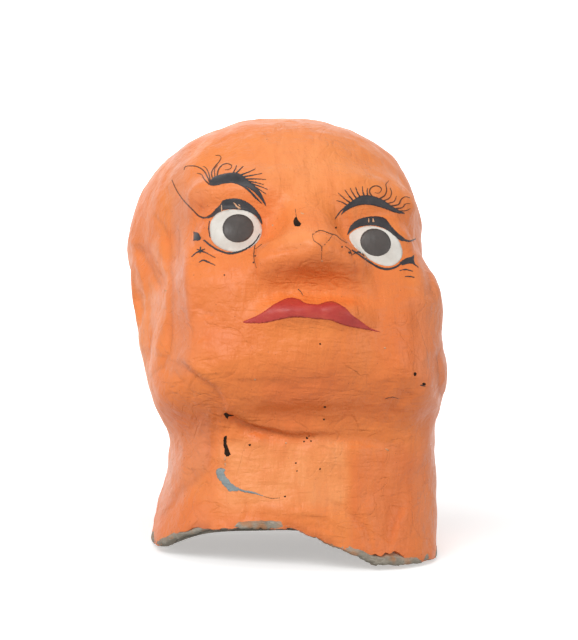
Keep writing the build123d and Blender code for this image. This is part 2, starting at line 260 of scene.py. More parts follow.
# ------------------------------------------------------------------ surface nets on the form
def nets(field, lo, hi, h):
    lo = np.array(lo, float)
    n = (np.ceil((np.array(hi) - lo) / (4 * h)).astype(int)) * 4
    nc = n // 4
    cx = [lo[k] + (np.arange(nc[k]) * 4 + 1.5) * h for k in range(3)]
    C = np.stack(np.meshgrid(*cx, indexing="ij"), -1).reshape(-1, 3)
    c = batched(field, C).reshape(nc)
    F = np.repeat(np.repeat(np.repeat(c, 4, 0), 4, 1), 4, 2)
    idx = np.argwhere(np.abs(F) < 6.5 * h)
    P = lo + idx * h
    F[idx[:, 0], idx[:, 1], idx[:, 2]] = batched(field, P)
    S = F < 0
    cell = np.zeros(n - 1, int)
    for dx in (0, 1):
        for dy in (0, 1):
            for dz in (0, 1):
                cell += S[dx:n[0] - 1 + dx, dy:n[1] - 1 + dy, dz:n[2] - 1 + dz]
    act = np.argwhere((cell > 0) & (cell < 8))
    ids = -np.ones(n - 1, int)
    ids[act[:, 0], act[:, 1], act[:, 2]] = np.arange(len(act))
    acc = np.zeros((len(act), 3))
    cnt = np.zeros(len(act))
    corners = [(a, b, d) for a in (0, 1) for b in (0, 1) for d in (0, 1)]
    for A in corners:
        for ax in range(3):
            if A[ax]:
                continue
            B = list(A); B[ax] = 1
            fa = F[act[:, 0] + A[0], act[:, 1] + A[1], act[:, 2] + A[2]]
            fb = F[act[:, 0] + B[0], act[:, 1] + B[1], act[:, 2] + B[2]]
            m = (fa < 0) != (fb < 0)
            t = np.where(m, fa / np.where(m, fa - fb, 1), 0)
            q = np.tile(np.array(A, float), (len(act), 1))
            q[:, ax] += t
            acc[m] += q[m]
            cnt[m] += 1
    V = lo + (act + acc / cnt[:, None]) * h
    quads = []
    for ax in range(3):
        u, w = (ax + 1) % 3, (ax + 2) % 3
        sl0 = [slice(0, None)] * 3; sl0[ax] = slice(0, n[ax] - 1)
        sl1 = [slice(0, None)] * 3; sl1[ax] = slice(1, n[ax])
        m = S[tuple(sl0)] != S[tuple(sl1)]
        e = np.argwhere(m)
        e = e[(e[:, u] > 0) & (e[:, w] > 0) & (e[:, u] < n[u] - 1) & (e[:, w] < n[w] - 1)]
        inside = S[e[:, 0], e[:, 1], e[:, 2]]

        def cid(du, dw):
            k = e.copy(); k[:, u] += du; k[:, w] += dw
            return ids[k[:, 0], k[:, 1], k[:, 2]]
        q = np.stack([cid(-1, -1), cid(0, -1), cid(0, 0), cid(-1, 0)], -1)
        q[~inside] = q[~inside][:, ::-1]
        quads.append(q)
    Q = np.concatenate(quads)
    return V, Q[(Q >= 0).all(1)]


def grad(field, P, e=0.4):
    g = np.stack([batched(field, P + np.array(v)) - batched(field, P - np.array(v))
                  for v in ((e, 0, 0), (0, e, 0), (0, 0, e))], -1) / (2 * e)
    return g


def project(field, P, steps):
    for _ in range(steps):
        g = grad(field, P)
        d = batched(field, P)
        st = -(d / np.maximum((g * g).sum(-1), 0.2))[:, None] * g
        ln = np.linalg.norm(st, axis=-1, keepdims=True)
        P = P + st * np.minimum(1, 0.8 / np.maximum(ln, 1e-9))
    return P


def relax(V, Q, k=0.5):
    E = np.concatenate([Q[:, [0, 1]], Q[:, [1, 2]], Q[:, [2, 3]], Q[:, [3, 0]]])
    s = np.zeros_like(V); c = np.zeros(len(V))
    np.add.at(s, E[:, 0], V[E[:, 1]]); np.add.at(c, E[:, 0], 1)
    np.add.at(s, E[:, 1], V[E[:, 0]]); np.add.at(c, E[:, 1], 1)
    return V + k * (s / np.maximum(c, 1)[:, None] - V)


def vnormals(V, Q):
    n = np.cross(V[Q[:, 2]] - V[Q[:, 0]], V[Q[:, 3]] - V[Q[:, 1]])
    N = np.zeros_like(V)
    for k in range(4):
        np.add.at(N, Q[:, k], n)
    return N / np.maximum(np.linalg.norm(N, axis=-1, keepdims=True), 1e-12)


# ------------------------------------------------------------------ creases, folds, cracks (chart polylines)
def near_line(uv, pts):
    """Distance in mm to a chart polyline, and the share of the way along it."""
    pts = np.array(pts, float)
    best = np.full(len(uv), 1e9); along = np.zeros(len(uv)); side = np.zeros(len(uv))
    seg = np.linalg.norm(pts[1:] - pts[:-1], axis=1); tot = seg.sum(); run = 0
    for a, b, L in zip(pts[:-1], pts[1:], seg):
        d = b - a
        t = np.clip(((uv - a) @ d) / (d @ d), 0, 1)
        q = uv - a - t[:, None] * d
        dist = np.linalg.norm(q, axis=1)
        m = dist < best
        best[m] = dist[m]; along[m] = (run + t[m] * L) / tot
        side[m] = np.sign(d[0] * q[m, 1] - d[1] * q[m, 0])
        run += L
    return best * 0.40, along, side


# depth mm (negative is a groove), half width mm or a pair (below or left of the line's run, above or right of it),
# polyline in chart units
FOLDS = [
    (-1.7, (7.0, 1.1), [(158, 354), (168, 360), (182, 367), (198, 381), (213, 390), (221, 402), (225, 413)]),
    (0.8, 2.6, [(170, 350), (184, 358), (200, 371), (216, 381)]),
    (-1.8, (3.4, 1.2), [(225, 413), (232, 416), (245, 425), (266, 431), (290, 436)]),
    (1.7, (1.0, 4.5), [(224, 410), (232, 412), (246, 420), (267, 427), (290, 432), (330, 432)]),
    (1.2, 3.0, [(230, 428), (246, 437), (268, 443)]),
    (-0.9, (3.0, 2.6), [(290, 436), (320, 438), (350, 438), (375, 440), (398, 447)]),
    (0.9, 4.0, [(224, 432), (223, 450), (221, 464)]),
    (-0.9, (6.0, 3.0), [(213, 428), (210, 450), (206, 469), (179, 489), (162, 513)][::-1]),
    (0.9, (1.6, 3.0), [(409, 505), (401, 522), (395, 543)]),
    (-0.8, (1.6, 5.0), [(404, 505), (396, 522), (391, 543)][::-1]),
    (-0.6, 1.6, [(330, 500), (350, 512), (368, 530), (372, 552)]),
    (0.7, 2.4, [(250, 505), (290, 512), (330, 518), (352, 535)]),
    (-0.5, 1.0, [(290, 520), (310, 517), (330, 522), (345, 533)]),
    (-0.5, 0.9, [(300, 527), (322, 526), (338, 534)]),
    (-0.6, 1.0, [(245, 499), (247, 509), (246, 520)]),
    (-1.75, (1.2, 6.0), [(154, 214), (163, 226), (168, 244), (169, 270), (169, 300), (168, 330), (167, 352), (160, 366), (151, 376)]),
    (1.1, (2.4, 3.4), [(187, 235), (188, 265), (190, 300), (193, 340)]),
    (-1.5, (1.4, 3.0), [(137, 245), (144, 260), (154, 279), (162, 292)]),
    (1.2, 3.0, [(133, 232), (131, 250), (136, 275), (141, 300)]),
    (1.2, 3.4, [(158, 236), (161, 258), (164, 276)]),
    (1.2, 4.0, [(150, 310), (152, 335), (156, 356)]),
    (-1.4, (1.2, 3.0), [(424, 255), (428, 266), (431, 286), (435, 302)][::-1]),
    (-1.6, (1.2, 3.0), [(439, 348), (440, 360), (441, 375), (442, 405)][::-1]),
    (-0.8, (1.6, 1.2), [(254, 240), (253, 255), (254, 270), (257, 285)]),
    (-1.0, (1.4, 2.6), [(352, 250), (357, 264), (356, 280)]),
    (-0.5, 1.2, [(262, 246), (275, 250), (292, 248), (310, 247)]),
    (-0.5, 0.6, [(313, 235), (316, 231), (322, 230), (331, 234), (340, 240), (347, 247)]),
    (-0.5, 0.6, [(320, 243), (322, 250), (322, 260)]),
    (-0.5, 0.6, [(330, 238), (325, 245), (322, 250)]),
    (-0.5, 1.8, [(268, 292), (278, 289), (292, 296)]),
    (0.6, 4.0, [(215, 135), (200, 160), (190, 190)]),
    (-0.6, (3.0, 6.0), [(410, 300), (415, 325), (418, 350), (416, 378)]),
    (0.8, 5.0, [(394, 335), (402, 360), (402, 385)]),
    (-0.8, 3.4, [(385, 415), (400, 400), (412, 392)]),
    (-0.6, 1.8, [(196, 305), (205, 312), (214, 315)]),
    (0.7, 4.4, [(250, 392), (290, 402), (340, 398)]),
    (-0.5, 3.0, [(258, 378), (290, 384), (330, 380)]),
]


def arcs(uv):
    d = np.zeros(len(uv))
    for depth, w, line in FOLDS:
        dist, t, side = near_line(uv, line)
        ww = np.where(side > 0, w[0], w[1]) if isinstance(w, tuple) else w
        ends = np.clip(np.minimum(t, 1 - t) * 5 + 0.15, 0, 1)
        d += depth * np.exp(-(dist / ww) ** 2) * ends
    return d


def rim_z(P):
    """Height of the worn lower edge, in the layout frame, from the place round the neck."""
    x, y = P[:, 0], P[:, 1]
    front = np.interp(x, [-60, -50, -38, -20, -4, 3, 17, 23, 29, 44, 58], [2.5, 6, 12.5, 14.8, 15, 12, 7, 4.5, 1.6, 0.8, 0.4])
    back = np.interp(x, [-45, -30, -10, 25, 40, 52], [1.0, 9, 13.5, 13, 8, 0.8])
    wf = np.clip((14 - y) / 18, 0, 1); wf = wf * wf * (3 - 2 * wf)
    wb = np.clip((y - 38) / 18, 0, 1); wb = wb * wb * (3 - 2 * wb)
    left = np.interp(y, [-10, 4, 16, 28, 60], [5.4, 3.8, 1.6, 0.6, 0.4])
    side = np.where(x < 0, left, 0.6)
    base = front * wf + back * wb + side * (1 - wf) * (1 - wb)
    q = np.stack([x, y, np.zeros_like(x)], -1)
    rag = 0.55 * noise(q, 7.0, 3) + 0.45 * noise(q, 2.6, 7) + 0.25 * noise(q, 1.2, 11)
    return base + 1.0 + np.clip(rag, -0.9, 1.2) - 9.5


def worn(P):
    """How far the painted layer has come away above the edge."""
    x, y = P[:, 0], P[:, 1]
    wf = np.clip((14 - y) / 18, 0, 1)
    q = np.stack([x, y, np.zeros_like(x)], -1)
    patchy = 0.8 + 0.6 * noise(q, 5.0, 11) + 0.4 * noise(q, 2.2, 19)
    return 0.05 + (3.8 * np.exp(-((x - 34) / 9.5) ** 2) + 1.4 * np.exp(-((x + 45) / 5) ** 2)) * wf * np.clip(patchy, 0.1, 1.5)


H = 1.0
V, Q = nets(body_f, (-72, -52, -16), (84, 130, 176), H)
V = project(body_f, V, 1)
V = relax(V, Q, 0.5)
V = project(body_f, V, 2)
N0 = grad(body_f, V); N0 /= np.linalg.norm(N0, axis=-1, keepdims=True)

uv = chart(V)
facing = np.clip((N0 @ BACK) * 3.0, 0, 1)
hh = to_head(V)
lump = (1.0 * noise(V, 27, 3) + 0.75 * noise(V, 13, 7) + 0.34 * noise(V, 5.5, 11) + 0.13 * noise(V, 2.8, 19))
hair_of_face = np.exp(-((np.abs(hh[:, 0]) - 28.5) ** 2 + (hh[:, 2] - 4) ** 2) / 16 ** 2) * (hh[:, 1] < -20)
lump *= 1 - 0.7 * hair_of_face
disp = lump + arcs(uv) * facing
# long soft facets in the paper on the neck and the back of the skull
disp += 0.5 * noise(V * np.array([1, 1, 0.35]), 11, 23) * np.clip((40 - V[:, 2]) / 40, 0, 1)
disp = np.clip(disp, -1.75, 2.4)
V = V + N0 * disp[:, None]

# cut the surface at the worn rim
rz = rim_z(V) + worn(V)
above = V[:, 2] > rz
keep = above[Q].sum(1) >= 3
Qk = Q[keep]
used = np.zeros(len(V), bool); used[Qk.ravel()] = True
E = np.sort(np.concatenate([Qk[:, [0, 1]], Qk[:, [1, 2]], Qk[:, [2, 3]], Qk[:, [3, 0]]]), 1)
key, ct = np.unique(E[:, 0] * 10 ** 7 + E[:, 1], return_counts=True)
be = key[ct == 1]
bv = np.unique(np.concatenate([be // 10 ** 7, be % 10 ** 7])).astype(int)
low = bv[V[bv, 2] < 20]
V[low, 2] = rz[low]
remap = -np.ones(len(V), int); remap[used] = np.arange(used.sum())
V, Q, N0, uv, hh = V[used], remap[Qk], N0[used], uv[used], hh[used]
NV = vnormals(V, Q)
print("skin mesh", len(V), len(Q))

# ------------------------------------------------------------------ regions of the one surface
C = V[Q].mean(1)
hc = to_head(C)
reg = np.where(hc[:, 1] < -8.0, 0, 1)
reg[ear_f(hc) < 1.2] = np.where(hc[ear_f(hc) < 1.2][:, 0] > 0, 2, 3)
reg[(nose_f(hc) < 1.0)] = 4
reg[(lips_f(hc) < 0.7)] = 5
reg[(eyes_f(hc) < 0.8) & (hc[:, 0] > 0)] = 6
reg[(eyes_f(hc) < 0.8) & (hc[:, 0] < 0)] = 7
NAMES = ["skin_face", "skin_back", "ear_left_pulp", "ear_right_pulp", "nose_pulp", "lips_pulp", "eye_left_dome", "eye_right_dome"]
NODES = ["face_shell", "back_shell", "ear_left", "ear_right", "nose", "lips", "eye_left", "eye_right"]
SLOTS = ["painted_skin", "painted_skin", "painted_pulp", "painted_pulp", "painted_pulp", "painted_lips", "painted_eye", "painted_eye"]


def link(name, verts_mm, faces, mat, normals=None, attrs=None, row=False):
    me = bpy.data.meshes.new(name)
    vv = verts_mm if row else to_row(verts_mm)
    me.from_pydata([tuple(v) for v in vv], [], [tuple(int(i) for i in f) for f in faces])
    for k, a in (attrs or {}).items():
        at = me.attributes.new(k, "FLOAT", "POINT")
        at.data.foreach_set("value", np.asarray(a, np.float32))
    me.polygons.foreach_set("use_smooth", [True] * len(me.polygons))
    me.update()
    if normals is not None:
        me.normals_split_custom_set([tuple(n) for n in normals])
    ob = bpy.data.objects.new(name, me)
    bpy.context.scene.collection.objects.link(ob)
    if mat:
        me.materials.append(mat)
    return ob


def solid_from(Qr, thick, name, mat, attrs):
    """Closed thin solid: the region of the surface, its copy set inward, and the edge between them."""
    u = np.unique(Qr)
    mp = -np.ones(len(V), int); mp[u] = np.arange(len(u))
    q = mp[Qr]; n = len(u)
    vo = V[u]; no = NV[u]
    vi = vo - no * thick
    Ed = np.concatenate([q[:, [0, 1]], q[:, [1, 2]], q[:, [2, 3]], q[:, [3, 0]]])
    s = np.sort(Ed, 1); kk = s[:, 0] * 10 ** 7 + s[:, 1]
    uq, inv, c = np.unique(kk, return_inverse=True, return_counts=True)
    bd = Ed[c[inv] == 1]
    rimf = np.stack([bd[:, 1], bd[:, 0], bd[:, 0] + n, bd[:, 1] + n], -1)
    inner = q[:, ::-1] + n
    faces = np.concatenate([q, inner, rimf])
    verts = np.concatenate([vo, vi])
    nl = [no[q].reshape(-1, 3), -no[q[:, ::-1]].reshape(-1, 3)]
    a, b, c2, d = (verts[rimf[:, k]] for k in range(4))
    rn = np.cross(c2 - a, d - b); rn /= np.maximum(np.linalg.norm(rn, axis=-1, keepdims=True), 1e-9)
    nl.append(np.repeat(rn, 4, 0))
    at = {k: np.concatenate([v[u], v[u]]) for k, v in attrs.items()}
    return link(name, verts, faces, mat, np.concatenate(nl), at)


# ------------------------------------------------------------------ materials
def srgb(c):
    return tuple((x / 12.92 if x <= 0.04045 else ((x + 0.055) / 1.055) ** 2.4) for x in c) + (1.0,)


def hexc(s):
    return srgb(tuple(int(s[i:i + 2], 16) / 255 for i in (0, 2, 4)))


class Mat:
    def __init__(self, name):
        self.m = bpy.data.materials.new(name)
        self.m.use_nodes = True
        self.t = self.m.node_tree
        self.b = self.t.nodes["Principled BSDF"]
        self.co = self.t.nodes.new("ShaderNodeTexCoord")

    def n(self, kind, **kw):
        nd = self.t.nodes.new("ShaderNode" + kind)
        for k, v in kw.items():
            if k in nd.inputs:
                nd.inputs[k].default_value = v
            else:
                setattr(nd, k, v)
        return nd

    def l(self, a, b):
        self.t.links.new(a, b)

    def noise(self, scale, detail=4.0, rough=0.55, stretch=None, rot=(0, 0, 0), dist=0.0):
        nd = self.n("TexNoise", Scale=scale, Detail=detail, Roughness=rough, Distortion=dist)
        if stretch:
            mp = self.n("Mapping")
            mp.inputs["Scale"].default_value = stretch
            mp.inputs["Rotation"].default_value = rot
            self.l(self.co.outputs["Object"], mp.inputs["Vector"])
            self.l(mp.outputs["Vector"], nd.inputs["Vector"])
        else:
            self.l(self.co.outputs["Object"], nd.inputs["Vector"])
        return nd.outputs["Fac"]

    def ramp(self, fac, stops):
        r = self.n("ValToRGB")
        el = r.color_ramp.elements
        while len(el) < len(stops):
            el.new(0.5)
        for e, (p, c) in zip(el, stops):
            e.position = p
            e.color = c if len(c) == 4 else (*c, 1)
        self.l(fac, r.inputs["Fac"])
        return r.outputs["Color"]

    def mix(self, fac, a, b, mode="MIX"):
        x = self.n("Mix", data_type="RGBA", blend_type=mode)
        for s, v in ((0, fac), (6, a), (7, b)):
            if hasattr(v, "links"):
                self.l(v, x.inputs[s])
            else:
                x.inputs[s].default_value = v
        return x.outputs[2]

    def math(self, op, a, b=0.0, clamp=False):
        x = self.n("Math", operation=op, use_clamp=clamp)
        for s, v in ((0, a), (1, b)):
            if hasattr(v, "links"):
                self.l(v, x.inputs[s])
            else:
                x.inputs[s].default_value = v
        return x.outputs[0]

    def attr(self, name):
        return self.n("Attribute", attribute_name=name).outputs["Fac"]

    def bump(self, hgt, strength, dist, prev=None):
        x = self.n("Bump", Strength=strength, Distance=dist)
        self.l(hgt, x.inputs["Height"])
        if prev is not None:
            self.l(prev, x.inputs["Normal"])
        return x.outputs["Normal"]

    def out(self, color, rough, normal=None, spec=0.5, coat=0.0, coat_rough=0.3):
        for k, v in (("Base Color", color), ("Roughness", rough)):
            if hasattr(v, "links"):
                self.l(v, self.b.inputs[k])
            else:
                self.b.inputs[k].default_value = v
        if normal is not None:
            self.l(normal, self.b.inputs["Normal"])
        self.b.inputs["Specular IOR Level"].default_value = spec
        self.b.inputs["Coat Weight"].default_value = coat
        self.b.inputs["Coat Roughness"].default_value = coat_rough
        return self.m


def orange_paint():
    M = Mat("orange_poster_paint")
    broad = M.noise(22, 3, 0.5)
    mid = M.noise(70, 4, 0.6)
    strokes = M.noise(260, 3, 0.6, stretch=(1.0, 0.25, 0.22), rot=(0.3, 0.2, 0.9), dist=0.4)
    strokes2 = M.noise(330, 3, 0.6, stretch=(0.2, 0.8, 1.0), rot=(0.5, 0.1, -0.5), dist=0.5)
    col = M.ramp(broad, [(0.30, hexc("EF772C")), (0.5, hexc("F38031")), (0.72, hexc("F68A3B"))])
    col = M.mix(M.math("MULTIPLY", M.ramp(mid, [(0.45, (0, 0, 0)), (0.75, (1, 1, 1))]), 0.32), col, hexc("E66B24"))
    # painted light: paler orange mixed in where the light falls
    col = M.mix(M.attr("painted_light"), col, hexc("FD9D5A"))
    # painted shade: darker orange mixed in where shade falls
    col = M.mix(M.math("MULTIPLY", M.attr("painted_shade"), 0.85), col, hexc("E76A26"))
    both = M.math("ADD", strokes, strokes2)
    light = M.ramp(both, [(0.42, (0, 0, 0)), (0.62, (1, 1, 1))])
    col = M.mix(M.math("MULTIPLY", light, 0.18), col, hexc("FFAA6E"))
    # painted sheen: a pinkish-grey painted reflection mixed into the paint on the grazing sides
    col = M.mix(M.math("MULTIPLY", M.attr("pink_sheen"), 0.60), col, hexc("E08E6A"))
    # painted shade in the creases and under the chin, and darker paint near the lower edge, mixed in as dark brown
    col = M.mix(M.math("MULTIPLY", M.attr("crease_shade_and_edge_dark"), 0.75), col, hexc("9E4A20"))
    streak = M.noise(150, 3, 0.6, stretch=(1.0, 0.5, 0.35), rot=(0.4, 0.7, 0.9), dist=1.2)
    col = M.mix(M.math("MULTIPLY", M.ramp(streak, [(0.40, (1, 1, 1)), (0.54, (0, 0, 0))]), 0.13), col, hexc("DF6620"))
    spk = M.noise(900, 2, 0.5)
    col = M.mix(M.ramp(spk, [(0.725, (0, 0, 0)), (0.76, (0.6, 0.6, 0.6))]), col, hexc("A84E1C"))
    fine = M.noise(1400, 3, 0.6)
    # shallow wrinkles of pasted paper: thin lines where a noise passes its middle, in patches
    wr = M.noise(52, 2, 0.5, dist=1.1)
    line = M.ramp(M.math("ABSOLUTE", M.math("SUBTRACT", wr, 0.5)), [(0.0, (0, 0, 0)), (0.028, (1, 1, 1))])
    patch_ = M.ramp(M.noise(30, 2, 0.5), [(0.46, (0, 0, 0)), (0.60, (1, 1, 1))])
    wrinkle = M.mix(patch_, (1, 1, 1, 1), line)
    wr2 = M.noise(120, 2, 0.5, stretch=(0.35, 1.0, 1.0), rot=(0.4, 0.2, 0.2), dist=0.9)
    line2 = M.ramp(M.math("ABSOLUTE", M.math("SUBTRACT", wr2, 0.5)), [(0.0, (0, 0, 0)), (0.035, (1, 1, 1))])
    patch2 = M.ramp(M.noise(41, 2, 0.5), [(0.52, (0, 0, 0)), (0.64, (1, 1, 1))])
    wrinkle2 = M.mix(patch2, (1, 1, 1, 1), line2)
    nb = M.bump(both, 0.62, 0.0011)
    nb = M.bump(mid, 0.70, 0.0020, nb)
    nb = M.bump(streak, 0.35, 0.0008, nb)
    nb = M.bump(wrinkle, 0.40, 0.0006, nb)
    nb = M.bump(wrinkle2, 0.35, 0.0004, nb)
    nb = M.bump(fine, 0.20, 0.0003, nb)
    rough = M.math("ADD", M.math("MULTIPLY", both, 0.20), 0.27)
    rough = M.math("SUBTRACT", rough, M.math("MULTIPLY", M.attr("pink_sheen"), 0.08))
    return M.out(col, rough, nb, spec=0.42, coat=0.10, coat_rough=0.28)


def red_paint():
    M = Mat("red_lip_paint")
    a = M.noise(90, 4, 0.6)
    s = M.noise(420, 3, 0.6, stretch=(0.25, 1, 1))
    col = M.ramp(a, [(0.3, hexc("B2332C")), (0.55, hexc("C44037")), (0.8, hexc("D4543F"))])
    col = M.mix(M.math("MULTIPLY", M.ramp(s, [(0.5, (0, 0, 0)), (0.8, (1, 1, 1))]), 0.35), col, hexc("E2704F"))
    nb = M.bump(s, 0.35, 0.0005)
    return M.out(col, M.math("ADD", M.math("MULTIPLY", s, 0.2), 0.34), nb, spec=0.45, coat=0.05)


def black_paint():
    M = Mat("black_brush_paint")
    a = M.noise(240, 4, 0.65)
    s = M.noise(700, 2, 0.5, stretch=(0.3, 1, 1))
    col = M.ramp(a, [(0.3, hexc("2B2A2D")), (0.6, hexc("3C3A3D")), (0.85, hexc("5A4A42"))])
    nb = M.bump(s, 0.3, 0.0003)
    return M.out(col, M.math("ADD", M.math("MULTIPLY", a, 0.25), 0.36), nb, spec=0.4)


def faded_paint():
    M = Mat("faded_brown_brush_paint")
    a = M.noise(300, 4, 0.65)
    s = M.noise(700, 2, 0.5, stretch=(0.3, 1, 1))
    col = M.ramp(a, [(0.3, hexc("4A3229")), (0.55, hexc("5E3F30")), (0.8, hexc("8A5433"))])
    nb = M.bump(s, 0.3, 0.0003)
    return M.out(col, 0.5, nb, spec=0.3)


def pupil_paint():
    M = Mat("dark_pupil_paint")
    a = M.noise(180, 4, 0.6)
    s = M.noise(520, 3, 0.6, stretch=(1, 1, 0.3), rot=(0, 0.5, 0))
    col = M.ramp(a, [(0.3, hexc("4A4542")), (0.6, hexc("544E4B")), (0.85, hexc("625A55"))])
    nb = M.bump(s, 0.4, 0.0004)
    return M.out(col, M.math("ADD", M.math("MULTIPLY", s, 0.3), 0.30), nb, spec=0.45)


def white_paint():
    M = Mat("white_eye_paint")
    a = M.noise(120, 4, 0.6)
    s = M.noise(480, 3, 0.6, stretch=(1, 1, 0.3), rot=(0, 0.7, 0))
    col = M.ramp(a, [(0.3, hexc("D9D2C8")), (0.55, hexc("E6E1D8")), (0.8, hexc("F0ECE4"))])
    col = M.mix(M.math("MULTIPLY", M.ramp(s, [(0.55, (0, 0, 0)), (0.85, (1, 1, 1))]), 0.3), col, hexc("C9BEB2"))
    nb = M.bump(s, 0.35, 0.0004)
    return M.out(col, 0.38, nb, spec=0.45)


def fibre_paper(name, base, light, dark, tint=None):
    M = Mat(name)
    a = M.noise(60, 5, 0.65)
    f = M.noise(500, 4, 0.7, stretch=(0.25, 1.0, 1.0), rot=(0.4, 0.3, 0.8), dist=1.2)
    g = M.noise(1100, 3, 0.6)
    col = M.ramp(a, [(0.3, hexc(dark)), (0.55, hexc(base)), (0.8, hexc(light))])
    col = M.mix(M.math("MULTIPLY", M.ramp(f, [(0.5, (0, 0, 0)), (0.7, (1, 1, 1))]), 0.45), col, hexc(light))
    col = M.mix(M.math("MULTIPLY", M.ramp(g, [(0.62, (0, 0, 0)), (0.7, (1, 1, 1))]), 0.5), col, hexc(dark))
    if tint:
        col = M.mix(M.math("MULTIPLY", M.ramp(M.noise(140, 2, 0.5), [(0.5, (0, 0, 0)), (0.62, (1, 1, 1))]), 0.6), col, hexc(tint))
    nb = M.bump(f, 0.8, 0.0008)
    nb = M.bump(g, 0.5, 0.0004, nb)
    return M.out(col, 0.9, nb, spec=0.15)


def card(name):
    M = Mat(name)
    a = M.noise(45, 4, 0.6)
    f = M.noise(700, 3, 0.6, stretch=(0.2, 0.2, 1.0))
    col = M.ramp(a, [(0.3, hexc("8A6A45")), (0.55, hexc("9C7B54")), (0.8, hexc("AD8C63"))])
    col = M.mix(M.math("MULTIPLY", M.ramp(f, [(0.5, (0, 0, 0)), (0.75, (1, 1, 1))]), 0.35), col, hexc("C2A27A"))
    nb = M.bump(f, 0.5, 0.0004)
    return M.out(col, 0.82, nb, spec=0.2)


ORANGE, RED, BLACK, FADED, PUPIL, WHITE = orange_paint(), red_paint(), black_paint(), faded_paint(), pupil_paint(), white_paint()
LINING = fibre_paper("grey_pasted_paper", "8F8A80", "ADA89C", "6E695F")
RIMP = fibre_paper("torn_rim_paper", "ADA495", "D2CABB", "7F7466", tint="C98552")
SLIT = fibre_paper("torn_blue_grey_paper", "98A3A4", "B9C2C0", "707A7C")
HOLE_SHADOW = fibre_paper("hole_shadow_paper", "33261C", "4A382A", "1E1611")
CHIP = fibre_paper("bared_ground_paper", "E9B48C", "F3CDAA", "DB9664")
CARD = card("brown_card")

# ------------------------------------------------------------------ attributes for the paint
def blob(c, r):
    return np.exp(-(((uv[:, 0] - c[0]) / r[0]) ** 2 + ((uv[:, 1] - c[1]) / r[1]) ** 2))


def band_of(v, a, b, c, d):
    """0 below a, rises to 1 at b, stays to c, falls to 0 at d."""
    return np.clip((v - a) / (b - a), 0, 1) * np.clip((d - v) / (d - c), 0, 1)


wv = 3.0 * noise(V, 9, 19)
front_side = (NV @ BACK) > -0.1
# painted sheen: a pinkish-grey painted reflection along the grazing sides of the face and neck and in a patch near
# the outer corner of the right eye, plus patchy pinkish colour over the back
pink_sheen = band_of(uv[:, 0] + wv, 166, 174, 184, 193) * band_of(uv[:, 1], 110, 150, 365, 380)
pink_sheen = np.maximum(pink_sheen, band_of(uv[:, 0] + 0.75 * (uv[:, 1] - 470) + wv, 150, 165, 196, 208) * band_of(uv[:, 1], 395, 425, 500, 515) * (uv[:, 0] < 210) * 0.7)
pink_sheen = np.maximum(pink_sheen, np.clip((uv[:, 0] + wv - 412) / 16, 0, 1) * band_of(uv[:, 1], 150, 200, 520, 545) * 0.8)
pink_sheen = np.maximum(pink_sheen, 0.55 * blob((195, 197), (13, 14)))
pink_sheen = np.maximum(pink_sheen * front_side, 0.55 * (1 - front_side) * np.clip(0.5 + noise(V, 20, 23), 0, 1))
pink_sheen = np.clip(pink_sheen * (0.8 + 0.35 * noise(V, 8, 19)), 0, 1)
# painted light: paler paint where the light falls on the front of the neck, the forehead, the nose bridge and the
# left side of the head
painted_light = 0.9 * band_of(uv[:, 0] + wv, 214, 228, 342, 350) * band_of(uv[:, 1] + wv, 436, 444, 500, 520)
painted_light = np.maximum(painted_light, 0.75 * blob((300, 165), (72, 38)))
painted_light = np.maximum(painted_light, 0.7 * blob((303, 236), (26, 13)))
painted_light = np.maximum(painted_light, 0.45 * blob((148, 320), (12, 60)))
painted_light = np.clip(painted_light * front_side * (0.9 + 0.35 * noise(V, 7, 11)), 0, 1)
# painted shade: darker paint under the chin, under the nose, on the sides of the cheeks, down the right side of the
# neck, at the lower left of the neck and by the right eye, where shade falls
painted_shade = 0.95 * blob((312, 392), (95, 36))
painted_shade = np.maximum(painted_shade, 0.55 * blob((215, 330), (40, 50)))
painted_shade = np.maximum(painted_shade, 0.60 * blob((400, 330), (45, 60)))
painted_shade = np.maximum(painted_shade, 0.70 * band_of(uv[:, 0] + wv, 346, 354, 440, 450) * band_of(uv[:, 1], 440, 460, 560, 580))
painted_shade = np.maximum(painted_shade, 0.60 * blob((200, 525), (40, 22)))
painted_shade = np.maximum(painted_shade, 0.80 * blob((305, 272), (40, 12)))
painted_shade = np.maximum(painted_shade, 0.50 * blob((210, 225), (40, 30)))
painted_shade = np.clip(painted_shade * front_side * (1 - 0.7 * pink_sheen) * (0.95 + 0.4 * noise(V, 10, 7)), 0, 1)
# painted shade in the grooves of the folds and creases, a painted shadow along the chin crease, and darker paint in
# patches close to the worn lower edge
crease_shade_and_edge_dark = np.zeros(len(V))
for depth, w, line in FOLDS:
    if depth < 0:
        dist, t, _ = near_line(uv, line)
        crease_shade_and_edge_dark = np.maximum(crease_shade_and_edge_dark, min(1.0, -depth) * 0.26 * np.exp(-(dist / (0.5 * (min(w) if isinstance(w, tuple) else w))) ** 2) * (facing[used] if len(facing) != len(V) else facing))
rimd = V[:, 2] - rim_z(V)
crease_shade_and_edge_dark = np.maximum(crease_shade_and_edge_dark, 0.6 * np.exp(-(rimd / 2.2) ** 2) * np.clip(0.6 + noise(V, 5, 23), 0, 1))
# painted shadow along the crease under the chin, wider on one side of the line
shade = [((225, 413), (232, 416), (245, 425), (266, 431), (290, 436), (330, 436), (360, 434))]
for line in shade:
    dist, t, side = near_line(uv, line)
    crease_shade_and_edge_dark = np.maximum(crease_shade_and_edge_dark, 0.55 * np.exp(-(dist / np.where(side > 0, 0.7, 3.4)) ** 2) * np.clip(1.25 - t, 0, 1) * np.clip(8 * t, 0, 1))
crease_shade_and_edge_dark = np.clip(crease_shade_and_edge_dark, 0, 1)
ATTR = {"pink_sheen": pink_sheen, "crease_shade_and_edge_dark": crease_shade_and_edge_dark, "painted_light": painted_light, "painted_shade": painted_shade}

